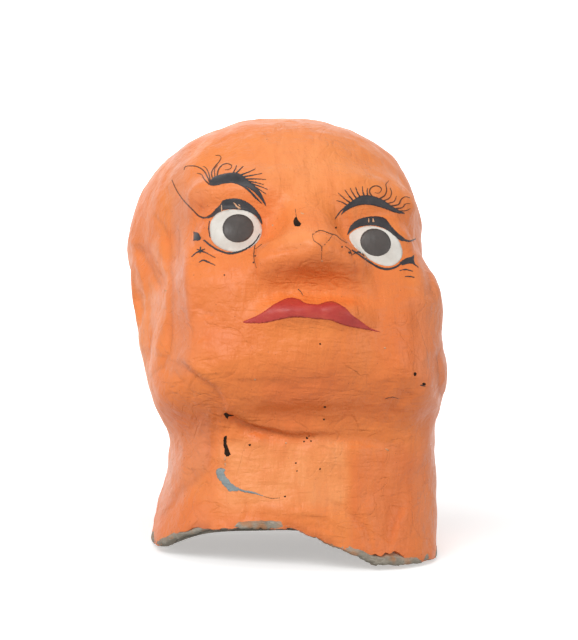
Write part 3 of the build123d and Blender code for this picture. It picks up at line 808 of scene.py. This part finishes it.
THICK = [2.0, 2.0, 2.0, 2.0, 2.0, 2.0, 2.0, 2.0]
for k, (nm, node, sl) in enumerate(zip(NAMES, NODES, SLOTS)):
    ob = solid_from(Q[reg == k], THICK[k], nm, ORANGE, ATTR)
    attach(ob, "root")
    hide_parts(node)
    print(nm, len(ob.data.polygons))

# ------------------------------------------------------------------ painting: patches that follow the surface
tree = BVHTree.FromPolygons([tuple(v) for v in V], [tuple(int(i) for i in q) for q in Q])
EYE_V = Vector(EYE)


def hit(p):
    d = Vector(chart_ray(p))
    loc, nor, i, dist = tree.ray_cast(EYE_V, d, 1000)
    return loc, nor, i


def smooth_curve(pts, per=6, closed=False):
    """Catmull-Rom through the points."""
    P = [np.array(p, float) for p in pts]
    n = len(P)
    out = []
    rng = range(n) if closed else range(n - 1)
    for i in rng:
        p0 = P[(i - 1) % n] if closed or i > 0 else 2 * P[0] - P[1]
        p1 = P[i]; p2 = P[(i + 1) % n]
        p3 = P[(i + 2) % n] if closed or i + 2 < n else 2 * P[-1] - P[-2]
        for k in range(per):
            t = k / per
            out.append(0.5 * ((2 * p1) + (-p0 + p2) * t + (2 * p0 - 5 * p1 + 4 * p2 - p3) * t * t + (-p0 + 3 * p1 - 3 * p2 + p3) * t ** 3))
    if not closed:
        out.append(P[-1])
    return np.array(out)


def densify(poly, step):
    out = []
    n = len(poly)
    for i in range(n):
        a, b = poly[i], poly[(i + 1) % n]
        L = np.linalg.norm(b - a)
        k = max(1, int(math.ceil(L / step)))
        for j in range(k):
            out.append(a + (b - a) * j / k)
    return np.array(out)


def patch(polys, lift=0.14, step=1.6, wob=0.0, seed=1):
    """Thin closed paint solids over the surface. polys: closed outlines in chart units."""
    rs = np.random.RandomState(seed)
    verts, faces = [], []
    for poly in polys:
        poly = densify(np.array(poly, float), step)
        if wob:
            poly = poly + rs.normal(0, wob, poly.shape)
        lo, hi = poly.min(0), poly.max(0)
        gx = np.arange(lo[0] + step / 2, hi[0], step); gy = np.arange(lo[1] + step / 2, hi[1], step)
        G = np.array([(x, y) for x in gx for y in gy]) if len(gx) and len(gy) else np.zeros((0, 2))
        if len(G):
            inside = np.zeros(len(G), bool)
            a = poly; b = np.roll(poly, -1, 0)
            for (x1, y1), (x2, y2) in zip(a, b):
                c = ((y1 > G[:, 1]) != (y2 > G[:, 1]))
                xi = (x2 - x1) * (G[:, 1] - y1) / (y2 - y1 + 1e-12) + x1
                inside ^= c & (G[:, 0] < xi)
            d = np.min(np.linalg.norm(G[:, None] - poly[None], axis=2), 1)
            G = G[inside & (d > 0.55 * step)]
        pts = [Vector(p) for p in poly] + [Vector(p) for p in G]
        n = len(poly)
        ed = [(i, (i + 1) % n) for i in range(n)]
        vo, _, fo, _, _, _ = geometry.delaunay_2d_cdt(pts, ed, [], 1, 1e-5)
        top, nor, ok = [], [], []
        for p in vo:
            loc, nn, i = hit((p.x, p.y))
            if loc is None:
                top.append(None); nor.append(None); continue
            q = Q[i]
            w = np.array([1.0 / (1e-3 + (Vector(V[j]) - loc).length) for j in q])
            ns = (NV[q] * w[:, None]).sum(0); ns /= np.linalg.norm(ns)
            top.append(np.array(loc)); nor.append(ns)
        fo = [f for f in fo if all(top[i] is not None for i in f)]
        if not fo:
            continue
        us = sorted(set(i for f in fo for i in f)); mp = {j: k for k, j in enumerate(us)}
        # the paint's top sits lift above the skin and its underside 0.25 below it
        T = np.array([top[i] for i in us]); Nn = np.array([nor[i] for i in us])
        base = len(verts)
        verts += list(T + Nn * lift) + list(T - Nn * 0.25)
        m = len(us)
        cnt = {}
        F = []
        for f in fo:
            g = [mp[i] for i in f]
            a3 = np.cross(T[g[1]] - T[g[0]], T[g[2]] - T[g[0]])
            if a3 @ Nn[g[0]] < 0:
                g = g[::-1]
            F.append(g)
            for i in range(len(g)):
                cnt[(g[i], g[(i + 1) % len(g)])] = 1
        for g in F:
            faces.append([base + i for i in g])
            faces.append([base + m + i for i in g[::-1]])
        for (i, j) in list(cnt):
            if (j, i) not in cnt:
                faces.append([base + j, base + i, base + m + i, base + m + j])
    return np.array(verts), faces


def stroke(pts, w0, w1, wm=None, per=5):
    """Outline of a brush stroke: width w0 at the start, wm in the middle, w1 at the end (chart units)."""
    c = smooth_curve(pts, per)
    t = np.linspace(0, 1, len(c))
    wm = (w0 + w1) / 2 if wm is None else wm
    w = np.where(t < 0.5, w0 + (wm - w0) * t * 2, wm + (w1 - wm) * (t - 0.5) * 2) / 2
    d = np.gradient(c, axis=0); d /= np.maximum(np.linalg.norm(d, axis=1, keepdims=True), 1e-9)
    nrm = np.stack([-d[:, 1], d[:, 0]], -1)
    return np.concatenate([c + nrm * w[:, None], (c - nrm * w[:, None])[::-1]])


def oval(cx, cy, rx, ry, rot=0, n=28):
    t = np.linspace(0, 2 * math.pi, n, endpoint=False); c, s = math.cos(rot), math.sin(rot)
    x, y = rx * np.cos(t), ry * np.sin(t)
    return np.stack([cx + x * c - y * s, cy + x * s + y * c], -1)


def paint(name, polys, mat, lift=0.14, step=1.6, wob=0.0, seed=1):
    v, f = patch(polys, lift, step, wob, seed)
    ob = link(name, v, f, mat)
    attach(ob, "root")
    return ob


sc = smooth_curve
# lips: one red shape with a cupid's bow, corners turned down
paint("painted_lips", [sc([(243, 322.5), (252, 318), (262, 313), (275, 304), (289, 298), (299, 299.5), (306, 303.5), (318, 304.5), (327, 302), (334, 302), (345, 308), (352, 315), (362, 322), (370, 328), (380, 332), (366, 329.5), (350, 326.5), (338, 323), (330, 320), (318, 319), (305, 317.5), (290, 317.5), (275, 320.5), (262, 323)], 4, True)], RED, 0.16, 1.8, 0.12)
# whites
paint("eye_right_white", [sc([(210, 232), (211, 222), (217, 214), (227, 210), (240, 210), (251, 213), (259, 221), (262, 230), (259, 240), (250, 248), (236, 252), (222, 249), (213, 242)], 4, True)], WHITE, 0.12, 1.8, 0.10)
paint("eye_left_white", [sc([(349, 236), (357, 229), (370, 226), (384, 229), (395, 236), (401, 246), (402, 256), (396, 264), (385, 266), (372, 261), (361, 253), (353, 245)], 4, True)], WHITE, 0.12, 1.8, 0.10)
# pupils
paint("eye_right_pupil", [oval(238, 228.5, 15.5, 14.0, -0.1)], PUPIL, 0.22, 1.8, 0.08)
paint("eye_left_pupil", [oval(375.5, 242.5, 15.5, 13.5, 0.35)], PUPIL, 0.22, 1.8, 0.08)
# lids and rims of the eyes
right_eye = [
    sc([(201.5, 218.2), (206, 217), (211, 214.4), (216, 209), (220.5, 204.6), (223, 200.4), (233.5, 198.2), (244.5, 200.6), (254, 207.4), (260.6, 216.6), (262, 224.5), (257, 217.4), (251.3, 213.2), (240.5, 209.7), (228.5, 209.3), (220.5, 211.4), (213.5, 216.4), (208, 218.4)], 3, True),
    stroke([(204, 240), (210, 245), (218, 250), (230, 253.5), (244, 250), (254, 243), (260, 234)], 1.4, 1.2, 2.0),
    np.array([(193.6, 231.5), (198.5, 233), (201.2, 238), (200, 240.2), (193.4, 240.8), (194, 236)], float),
    stroke([(191.5, 257), (196, 253), (200, 251.6), (205, 252.4), (215.4, 257.6)], 0.5, 0.5, 1.6),
    stroke([(197, 249.2), (201, 250.4), (205, 249)], 0.6, 0.5, 1.5),
    stroke([(200.6, 246.8), (200.6, 250), (200, 253.6)], 0.6, 0.6, 1.6),
    stroke([(199, 262.6), (203, 260.3), (207.5, 261.8), (215.4, 265.4)], 0.5, 0.5, 1.7),
    stroke([(209.6, 221), (208.8, 229), (210.4, 238)], 0.6, 0.6, 1.0),
]
left_eye = [
    sc([(347.4, 235), (348.6, 230), (351.2, 225), (358.4, 219.2), (370.5, 216.4), (380, 216.8), (386, 219.4), (389.6, 224.4), (395, 230.6), (399, 234.4), (404.6, 238.8), (404, 241), (399, 240), (392.6, 234.6), (384.1, 228.4), (371.9, 225.4), (359.7, 226.9), (351.2, 231.2)], 3, True),
    stroke([(403, 239.4), (407, 240.8), (411, 240.8), (415.4, 238.8)], 2.2, 0.8, 1.5),
    stroke([(352, 250), (365, 259), (378, 267.2), (388, 269.2), (396, 267), (402, 262.6)], 1.0, 1.4, 2.2),
    np.array([(399.5, 262.4), (406.6, 257.8), (411, 257), (414.2, 254.9), (413.6, 259), (414.7, 264.4), (409.6, 263.4), (402, 265.4)], float),
    stroke([(413.5, 264), (416, 265.6), (418.4, 267.6)], 1.2, 0.5, 0.8),
    stroke([(399.7, 270.5), (406, 269.6), (412.7, 271.3)], 0.5, 0.5, 1.2),
    stroke([(405, 276.5), (410, 276.6), (414.2, 277.4)], 0.5, 0.5, 1.2),
    stroke([(352.4, 254.5), (358.3, 252), (364.5, 256)], 0.5, 0.8, 1.4),
]
paint("eye_right_lines", right_eye, BLACK, 0.17, 1.3, 0.12, 3)
paint("eye_left_lines", left_eye, BLACK, 0.17, 1.3, 0.12, 4)
# brows: a thick body, forked tails towards the nose, fine hairs and curling ends
right_brow = [
    sc([(209, 184.6), (210.6, 180.6), (214.7, 176.8), (224.2, 173.8), (235, 172.6), (240, 174.2), (244.8, 177.6), (251.3, 182.8), (257, 188), (262, 195), (266.4, 206.4), (260, 198.4), (254, 192), (246.5, 186.6), (250.5, 190.4), (257, 197.4), (262.2, 204), (255.6, 198.6), (248.6, 191.4), (242, 186.4), (233.7, 183.2), (224.2, 183.6), (215, 185.8)], 3, True),
    stroke([(236, 173.5), (240, 169.5), (243.4, 166.4)], 1.4, 0.4),
    stroke([(233, 173), (235.4, 169), (236.6, 165.6)], 1.2, 0.4),
    stroke([(240, 175.4), (248, 172.4), (255.4, 169)], 1.5, 0.4),
    stroke([(243, 177), (252.4, 175.4), (262, 173.6)], 1.5, 0.4),
    stroke([(245.6, 179.2), (256, 179), (266.2, 179.6)], 1.5, 0.4),
    stroke([(248.6, 181.4), (256, 182.6), (263.6, 184.6)], 1.5, 0.4),
    stroke([(252, 184), (259.5, 186.2), (267.5, 189.3)], 1.5, 0.4),
    stroke([(255, 187), (260, 190), (266, 194)], 1.3, 0.4),
]
right_hairs = [
    stroke([(217, 177), (218.4, 170), (222, 165.4), (227, 163.6), (231.6, 165.6), (230, 169), (225, 170)], 1.3, 0.4, 0.9),
    stroke([(212.6, 179), (211.6, 173), (214, 168), (218.4, 162.6), (221, 158.4), (219.6, 155.6), (215.6, 155.4)], 1.3, 0.3, 0.8),
    stroke([(209.6, 182), (207, 176), (203.4, 170.4), (197, 166.6), (191, 166), (185.6, 166.6), (184, 170)], 1.4, 0.3, 0.9),
    stroke([(210.4, 181), (209, 174), (206, 168), (203, 166.4)], 1.3, 0.3, 0.8),
    stroke([(209.4, 184.6), (204.6, 179.6), (201.4, 174.6), (197, 173.4)], 1.4, 0.3, 0.9),
    stroke([(215, 177), (214.6, 170), (217.6, 165.4)], 1.1, 0.3, 0.7),
    stroke([(172, 180), (176, 189), (181, 197), (187, 204), (194, 211), (199, 216), (204.6, 218)], 0.6, 1.5, 0.9),
]
left_brow = [
    sc([(334.8, 219.4), (338, 213.4), (343.6, 207.6), (350, 202.4), (356, 198.4), (362.4, 195.4), (371.9, 195.8), (382.7, 199.8), (389.5, 204.6), (396.3, 208.8), (404.8, 213.4), (398, 213.2), (392, 211.4), (384.1, 208.5), (373.3, 205.4), (363.8, 204.6), (356, 206), (347.6, 209.8), (341, 214.6), (344, 209.4), (340.6, 212)], 3, True),
    stroke([(350, 202.6), (343.6, 198), (338, 192.8)], 1.4, 0.4),
    stroke([(353, 200.6), (348.4, 195), (344.8, 190)], 1.4, 0.4),
    stroke([(356.4, 198.6), (352.6, 193), (350.2, 188)], 1.4, 0.4),
    stroke([(360, 197), (357.2, 192), (355.6, 187)], 1.4, 0.4),
    stroke([(364, 196), (362.6, 191), (362.4, 186.4)], 1.4, 0.4),
    stroke([(367.6, 196), (367, 191.6), (367.6, 188)], 1.2, 0.4),
    stroke([(347, 205), (341.6, 202), (336.4, 200.6)], 1.3, 0.4),
]
left_hairs = [
    stroke([(372, 196.4), (369.4, 191.4), (372, 187), (377.4, 186), (381.4, 189), (379, 193), (374.8, 192.6)], 1.4, 0.4, 0.9),
    stroke([(379, 199), (384.6, 195.4), (386.6, 190), (385.8, 184.6), (388.6, 181)], 1.4, 0.3, 0.8),
    stroke([(383, 201), (389.4, 198), (391.4, 192.6), (390, 188)], 1.3, 0.3, 0.8),
    stroke([(387, 203.6), (394, 201.4), (396.4, 196)], 1.3, 0.3, 0.8),
    stroke([(391, 206), (398.4, 204.4), (401, 199.6), (405, 196.8), (410, 198)], 1.4, 0.3, 0.9),
    stroke([(395, 208.6), (402, 207.6), (405.4, 204), (410, 203.6)], 1.3, 0.3, 0.9),
    stroke([(399, 211), (405.6, 210.6), (410.4, 208.6)], 1.2, 0.3, 0.8),
]
paint("brow_right", right_brow, BLACK, 0.15, 1.2, 0.10, 5)
paint("brow_left", left_brow, BLACK, 0.15, 1.2, 0.10, 6)
paint("brow_right_curls", right_hairs, FADED, 0.12, 1.2, 0.08, 15)
paint("brow_left_curls", left_hairs, FADED, 0.12, 1.2, 0.08, 16)
# chips in the lid paint, down to the orange and the pale ground
paint("lid_chips", [
    np.array([(233.4, 202.4), (235, 203), (237.6, 206), (241.4, 208.6), (238.8, 208.9), (236, 207)], float),
    np.array([(221.2, 205), (222, 205), (222.4, 211.6), (221.4, 211.8)], float),
    np.array([(238, 204.6), (239.2, 204.2), (240.6, 206), (239.8, 206.4)], float),
    np.array([(368, 218.6), (368.9, 218.6), (369.2, 222.4), (368.3, 222.6)], float),
    np.array([(372.4, 219), (373.2, 218.8), (374.4, 222), (372.6, 222.4)], float),
    np.array([(362.6, 253.6), (364.6, 254.4), (367.2, 258.4), (365.6, 258.2)], float),
], CHIP, 0.24, 1.2, 0.10, 17)
# bare paper where the layer is torn, and small holes and tears painted as dark patches of shadow
paint("tear_grey_paper", [
    np.array([(216, 470.2), (218, 468.8), (221, 468.2), (225, 469.2), (224, 473.5), (228, 479), (231, 483), (234.9, 486), (242.8, 490), (254.6, 491.9), (264.5, 496.6), (256, 494), (246.7, 492.8), (238.8, 490.8), (233, 491), (229, 491.4), (226, 487), (223, 485), (221, 481), (218, 478), (216.5, 474)], float),
], SLIT, 0.10, 1.3, 0.25, 7)
paint("pin_holes_painted_shadow", [
    np.array([(223.6, 438), (225.5, 435.4), (227.3, 435.8), (226.4, 440), (226.8, 444.5), (228.6, 449), (230.6, 454.4), (229, 456.2), (226.6, 456.6), (224.2, 453.4), (224.6, 449), (223.4, 445.5)], float),
    np.array([(223.6, 413.6), (226, 412.4), (229.5, 414.4), (234, 415.6), (228.6, 416.4), (227.6, 419), (225.4, 417)], float),
    np.array([(293.3, 221.3), (294.4, 219), (295.5, 217.2), (296.8, 217.2), (297.9, 219.9), (299.8, 222), (301.4, 224), (299.5, 226.2), (297.4, 226.6), (295.2, 226.2), (293.6, 223.5)], float),
    oval(222, 470, 3.0, 2.0, 0.4, 10), oval(415, 374, 1.5, 2.0, 0, 9), oval(424, 384, 1.8, 1.4, 0, 9),
    oval(307, 438, 1.3, 1.0, 0.4, 9), oval(311, 441, 0.9, 0.8, 0, 7), oval(304, 441.5, 0.8, 0.7, 0, 7), oval(309, 436, 0.7, 0.6, 0, 7), oval(249.7, 444.9, 1.3, 1.1, 0, 8), oval(285, 496.4, 1.1, 0.8, 0, 8), oval(297, 471, 0.7, 0.7, 0, 7), oval(324, 419.4, 0.9, 0.9, 0, 7), oval(324.8, 407, 1.4, 0.9, 0, 8),
    oval(320, 344, 1.0, 1.0, 0, 8), oval(296, 463, 0.9, 0.9, 0, 8), oval(320, 469, 0.9, 0.9, 0, 8),
    oval(336, 227.8, 1.0, 1.0, 0, 8),
], HOLE_SHADOW, 0.07, 1.2, 0.12, 8)
# hair cracks and old dirt in the paint
cracks = [
    stroke([(298, 289), (301, 292), (303, 296)], 0.9, 0.5),
    stroke([(296.4, 217.6), (295.8, 213), (295.2, 209)], 0.8, 0.3),
    stroke([(313, 234.6), (317, 231.4), (322, 230.6), (330, 233.6), (336, 235.4), (341, 239.6), (347, 243)], 0.4, 0.4, 0.9),
    stroke([(312.4, 233.6), (313.6, 240.2), (318, 243.4), (321.6, 247), (321.8, 253), (321.4, 259.4)], 0.4, 0.3, 0.7),
    stroke([(332.6, 234.4), (329, 240), (324.6, 244.6), (321.8, 247)], 0.4, 0.3, 0.6),
    stroke([(258, 236), (255.4, 244), (254, 252), (254.2, 260), (256.4, 268)], 0.5, 0.3, 0.9),
    stroke([(262, 244), (258.4, 247), (255, 249)], 0.4, 0.3, 0.6),
    stroke([(345, 246), (350, 250), (352, 256)], 0.5, 0.3, 0.8),
    stroke([(385, 399), (392, 397), (399, 399)], 0.3, 0.3, 0.5),
    stroke([(264, 496.4), (272, 498.4), (280, 498)], 0.4, 0.2, 0.5),
    oval(349.6, 252.6, 1.6, 1.2, 0.3, 9), oval(342, 247, 0.9, 0.8, 0, 7), oval(255.2, 256, 1.1, 0.9, 0, 8), oval(253.6, 262.4, 0.9, 1.0, 0, 8),
    oval(423, 385.6, 3.0, 0.7, 0.2, 10), oval(224.4, 275, 0.9, 0.8, 0, 7),
]
paint("hair_cracks", cracks, FADED, 0.06, 1.2, 0.10, 18)
# pale specks where the paint has flaked
specks = [oval(272.6, 225.4, 1.0, 0.9, 0.3, 8), oval(322, 261, 0.9, 0.8, 0, 8), oval(387, 449.6, 2.2, 0.9, 0.5, 9), oval(225, 458.6, 0.7, 2.4, 0, 9), oval(225.2, 464.6, 0.6, 2.0, 0, 9),
          oval(286, 443, 1.1, 0.8, 0, 8), oval(165.6, 290.6, 1.0, 0.7, 0, 8), oval(255, 379.6, 1.0, 0.8, 0, 8), oval(385, 348, 1.3, 0.8, 0.6, 8), oval(302.4, 213.6, 2.0, 0.6, 0.4, 8)]
paint("flaked_specks", specks, CHIP, 0.07, 1.2, 0.10, 19)

# ------------------------------------------------------------------ rim band: torn, fibrous edge under the skin
NTH = 420
th = np.linspace(0, 2 * math.pi, NTH, endpoint=False)
nx0, ny0 = 8.0, 25.0


def neck_radius(z, level):
    d = np.stack([np.cos(th), np.sin(th), np.zeros(NTH)], -1)
    lo = np.zeros(NTH); hi = np.full(NTH, 90.0)
    c = np.array([nx0, ny0, 0.0])
    for _ in range(30):
        m_ = (lo + hi) / 2
        P = c + d * m_[:, None]; P[:, 2] = z
        f = neck_f(P) - level
        lo = np.where(f < 0, m_, lo); hi = np.where(f < 0, hi, m_)
    return lo


def at(rad, z):
    return np.stack([nx0 + np.cos(th) * rad, ny0 + np.sin(th) * rad, z], -1)


outer0 = at(neck_radius(np.full(NTH, -8.0), 0.0), np.full(NTH, -8.0))
rzb = rim_z(outer0)
fray = np.random.RandomState(5)
prof = []
top = 16.5 + 0.9 * noise(outer0, 9, 3)
zb = np.maximum(rzb - 0.35 + 0.30 * fray.uniform(-1, 1, NTH), -9.45)
for level, z in ((-3.9, top - 0.2), (-5.2, top + 0.3), (-6.2, top - 0.6), (-6.25, rzb + 9), (-6.1, rzb + 4), (-5.4, rzb + 1.2), (-4.2, zb), (-2.4, zb - 0.0), (-1.0, zb + 0.1), (-0.25, rzb + 0.5), (-0.35, rzb + 2.4), (-2.1, rzb + 3.2), (-3.6, rzb + 6)):
    lv = level + 0.22 * noise(outer0 * 1.0 + level, 2.2, 11)
    z = np.maximum(z, -9.45)
    prof.append(at(neck_radius(z, 0.0) + lv, z))
K = len(prof)
bv = np.concatenate(prof)
bf = []
for k in range(K):
    k2 = (k + 1) % K
    for i in range(NTH):
        j = (i + 1) % NTH
        bf.append((k * NTH + i, k * NTH + j, k2 * NTH + j, k2 * NTH + i))
band = link("rim_band_torn", bv, bf, RIMP)
bpy.context.view_layer.update()
bm_ = bmesh.new(); bm_.from_mesh(band.data)
bmesh.ops.recalc_face_normals(bm_, faces=bm_.faces); bm_.to_mesh(band.data); bm_.free()
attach(band, "root"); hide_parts("rim_band")

# ------------------------------------------------------------------ carried-over CAD nodes
for node, mat in (("face_lining", LINING), ("back_lining", LINING), ("seam_strip_crown", LINING), ("seam_strip_left", LINING), ("seam_strip_right", LINING),
                  ("finger_tube", CARD), ("finger_tube_cap", CARD), ("neck_disc_lower", CARD), ("neck_disc_upper", CARD)):
    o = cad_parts[node]
    if not o.data.materials:
        o.data.materials.append(mat)
    for i in range(len(o.material_slots)):
        o.material_slots[i].material = mat

# ------------------------------------------------------------------ stage and light
fm = Mat("pale_floor")
fm.out(srgb((0.97, 0.97, 0.97)), 0.8, spec=0.1)
fm.b.inputs["Emission Color"].default_value = (1, 1, 1, 1)
fm.b.inputs["Emission Strength"].default_value = 0.42
bpy.ops.mesh.primitive_plane_add(size=1)
floor = bpy.context.object
floor.name = "floor"
fme = floor.data
sweep_v, sweep_f = [], []
prof2 = [(-2.5, 0.0)] + [(0.9 + 0.6 * math.sin(t), 0.6 - 0.6 * math.cos(t)) for t in np.linspace(0, math.pi / 2, 12)] + [(1.5, 3.2)]
for (yy, zz) in prof2:
    for xx in (-3.0, 3.0):
        sweep_v.append((xx, yy, zz))
for i in range(len(prof2) - 1):
    sweep_f.append((2 * i, 2 * i + 1, 2 * i + 3, 2 * i + 2))
me = bpy.data.meshes.new("floor"); me.from_pydata(sweep_v, [], sweep_f)
me.polygons.foreach_set("use_smooth", [True] * len(me.polygons))
floor.data = me
me.materials.append(fm.m)
floor.visible_diffuse = False


def area(name, loc, aim, size, power, col=(1, 1, 1)):
    ld = bpy.data.lights.new(name, "AREA"); ld.shape = "DISK"; ld.size = size; ld.energy = power; ld.color = col
    lo_ = bpy.data.objects.new(name, ld); bpy.context.scene.collection.objects.link(lo_)
    d = Vector(aim) - Vector(loc)
    lo_.location = loc; lo_.rotation_euler = d.to_track_quat("-Z", "Y").to_euler()


area("key", (-0.46, -0.80, 0.72), (0, -0.03, 0.10), 0.55, 5.55)
area("right_fill", (0.80, -0.75, 0.35), (0, 0, 0.09), 0.5, 2.0)
area("left_fill", (-0.95, -0.25, 0.30), (0, 0, 0.09), 0.5, 1.7)
area("top_soft", (0.0, -0.10, 1.15), (0, 0, 0.12), 0.8, 0.9)
area("backdrop_wash", (0, 0.50, 1.0), (0, 1.5, 0.55), 1.0, 18)
bpy.context.scene.view_settings.view_transform = "Standard"
bpy.context.scene.view_settings.look = "None"
w = bpy.data.worlds.new("world"); bpy.context.scene.world = w; w.use_nodes = True
w.node_tree.nodes["Background"].inputs["Color"].default_value = (1, 1, 1, 1)
w.node_tree.nodes["Background"].inputs["Strength"].default_value = 0.42
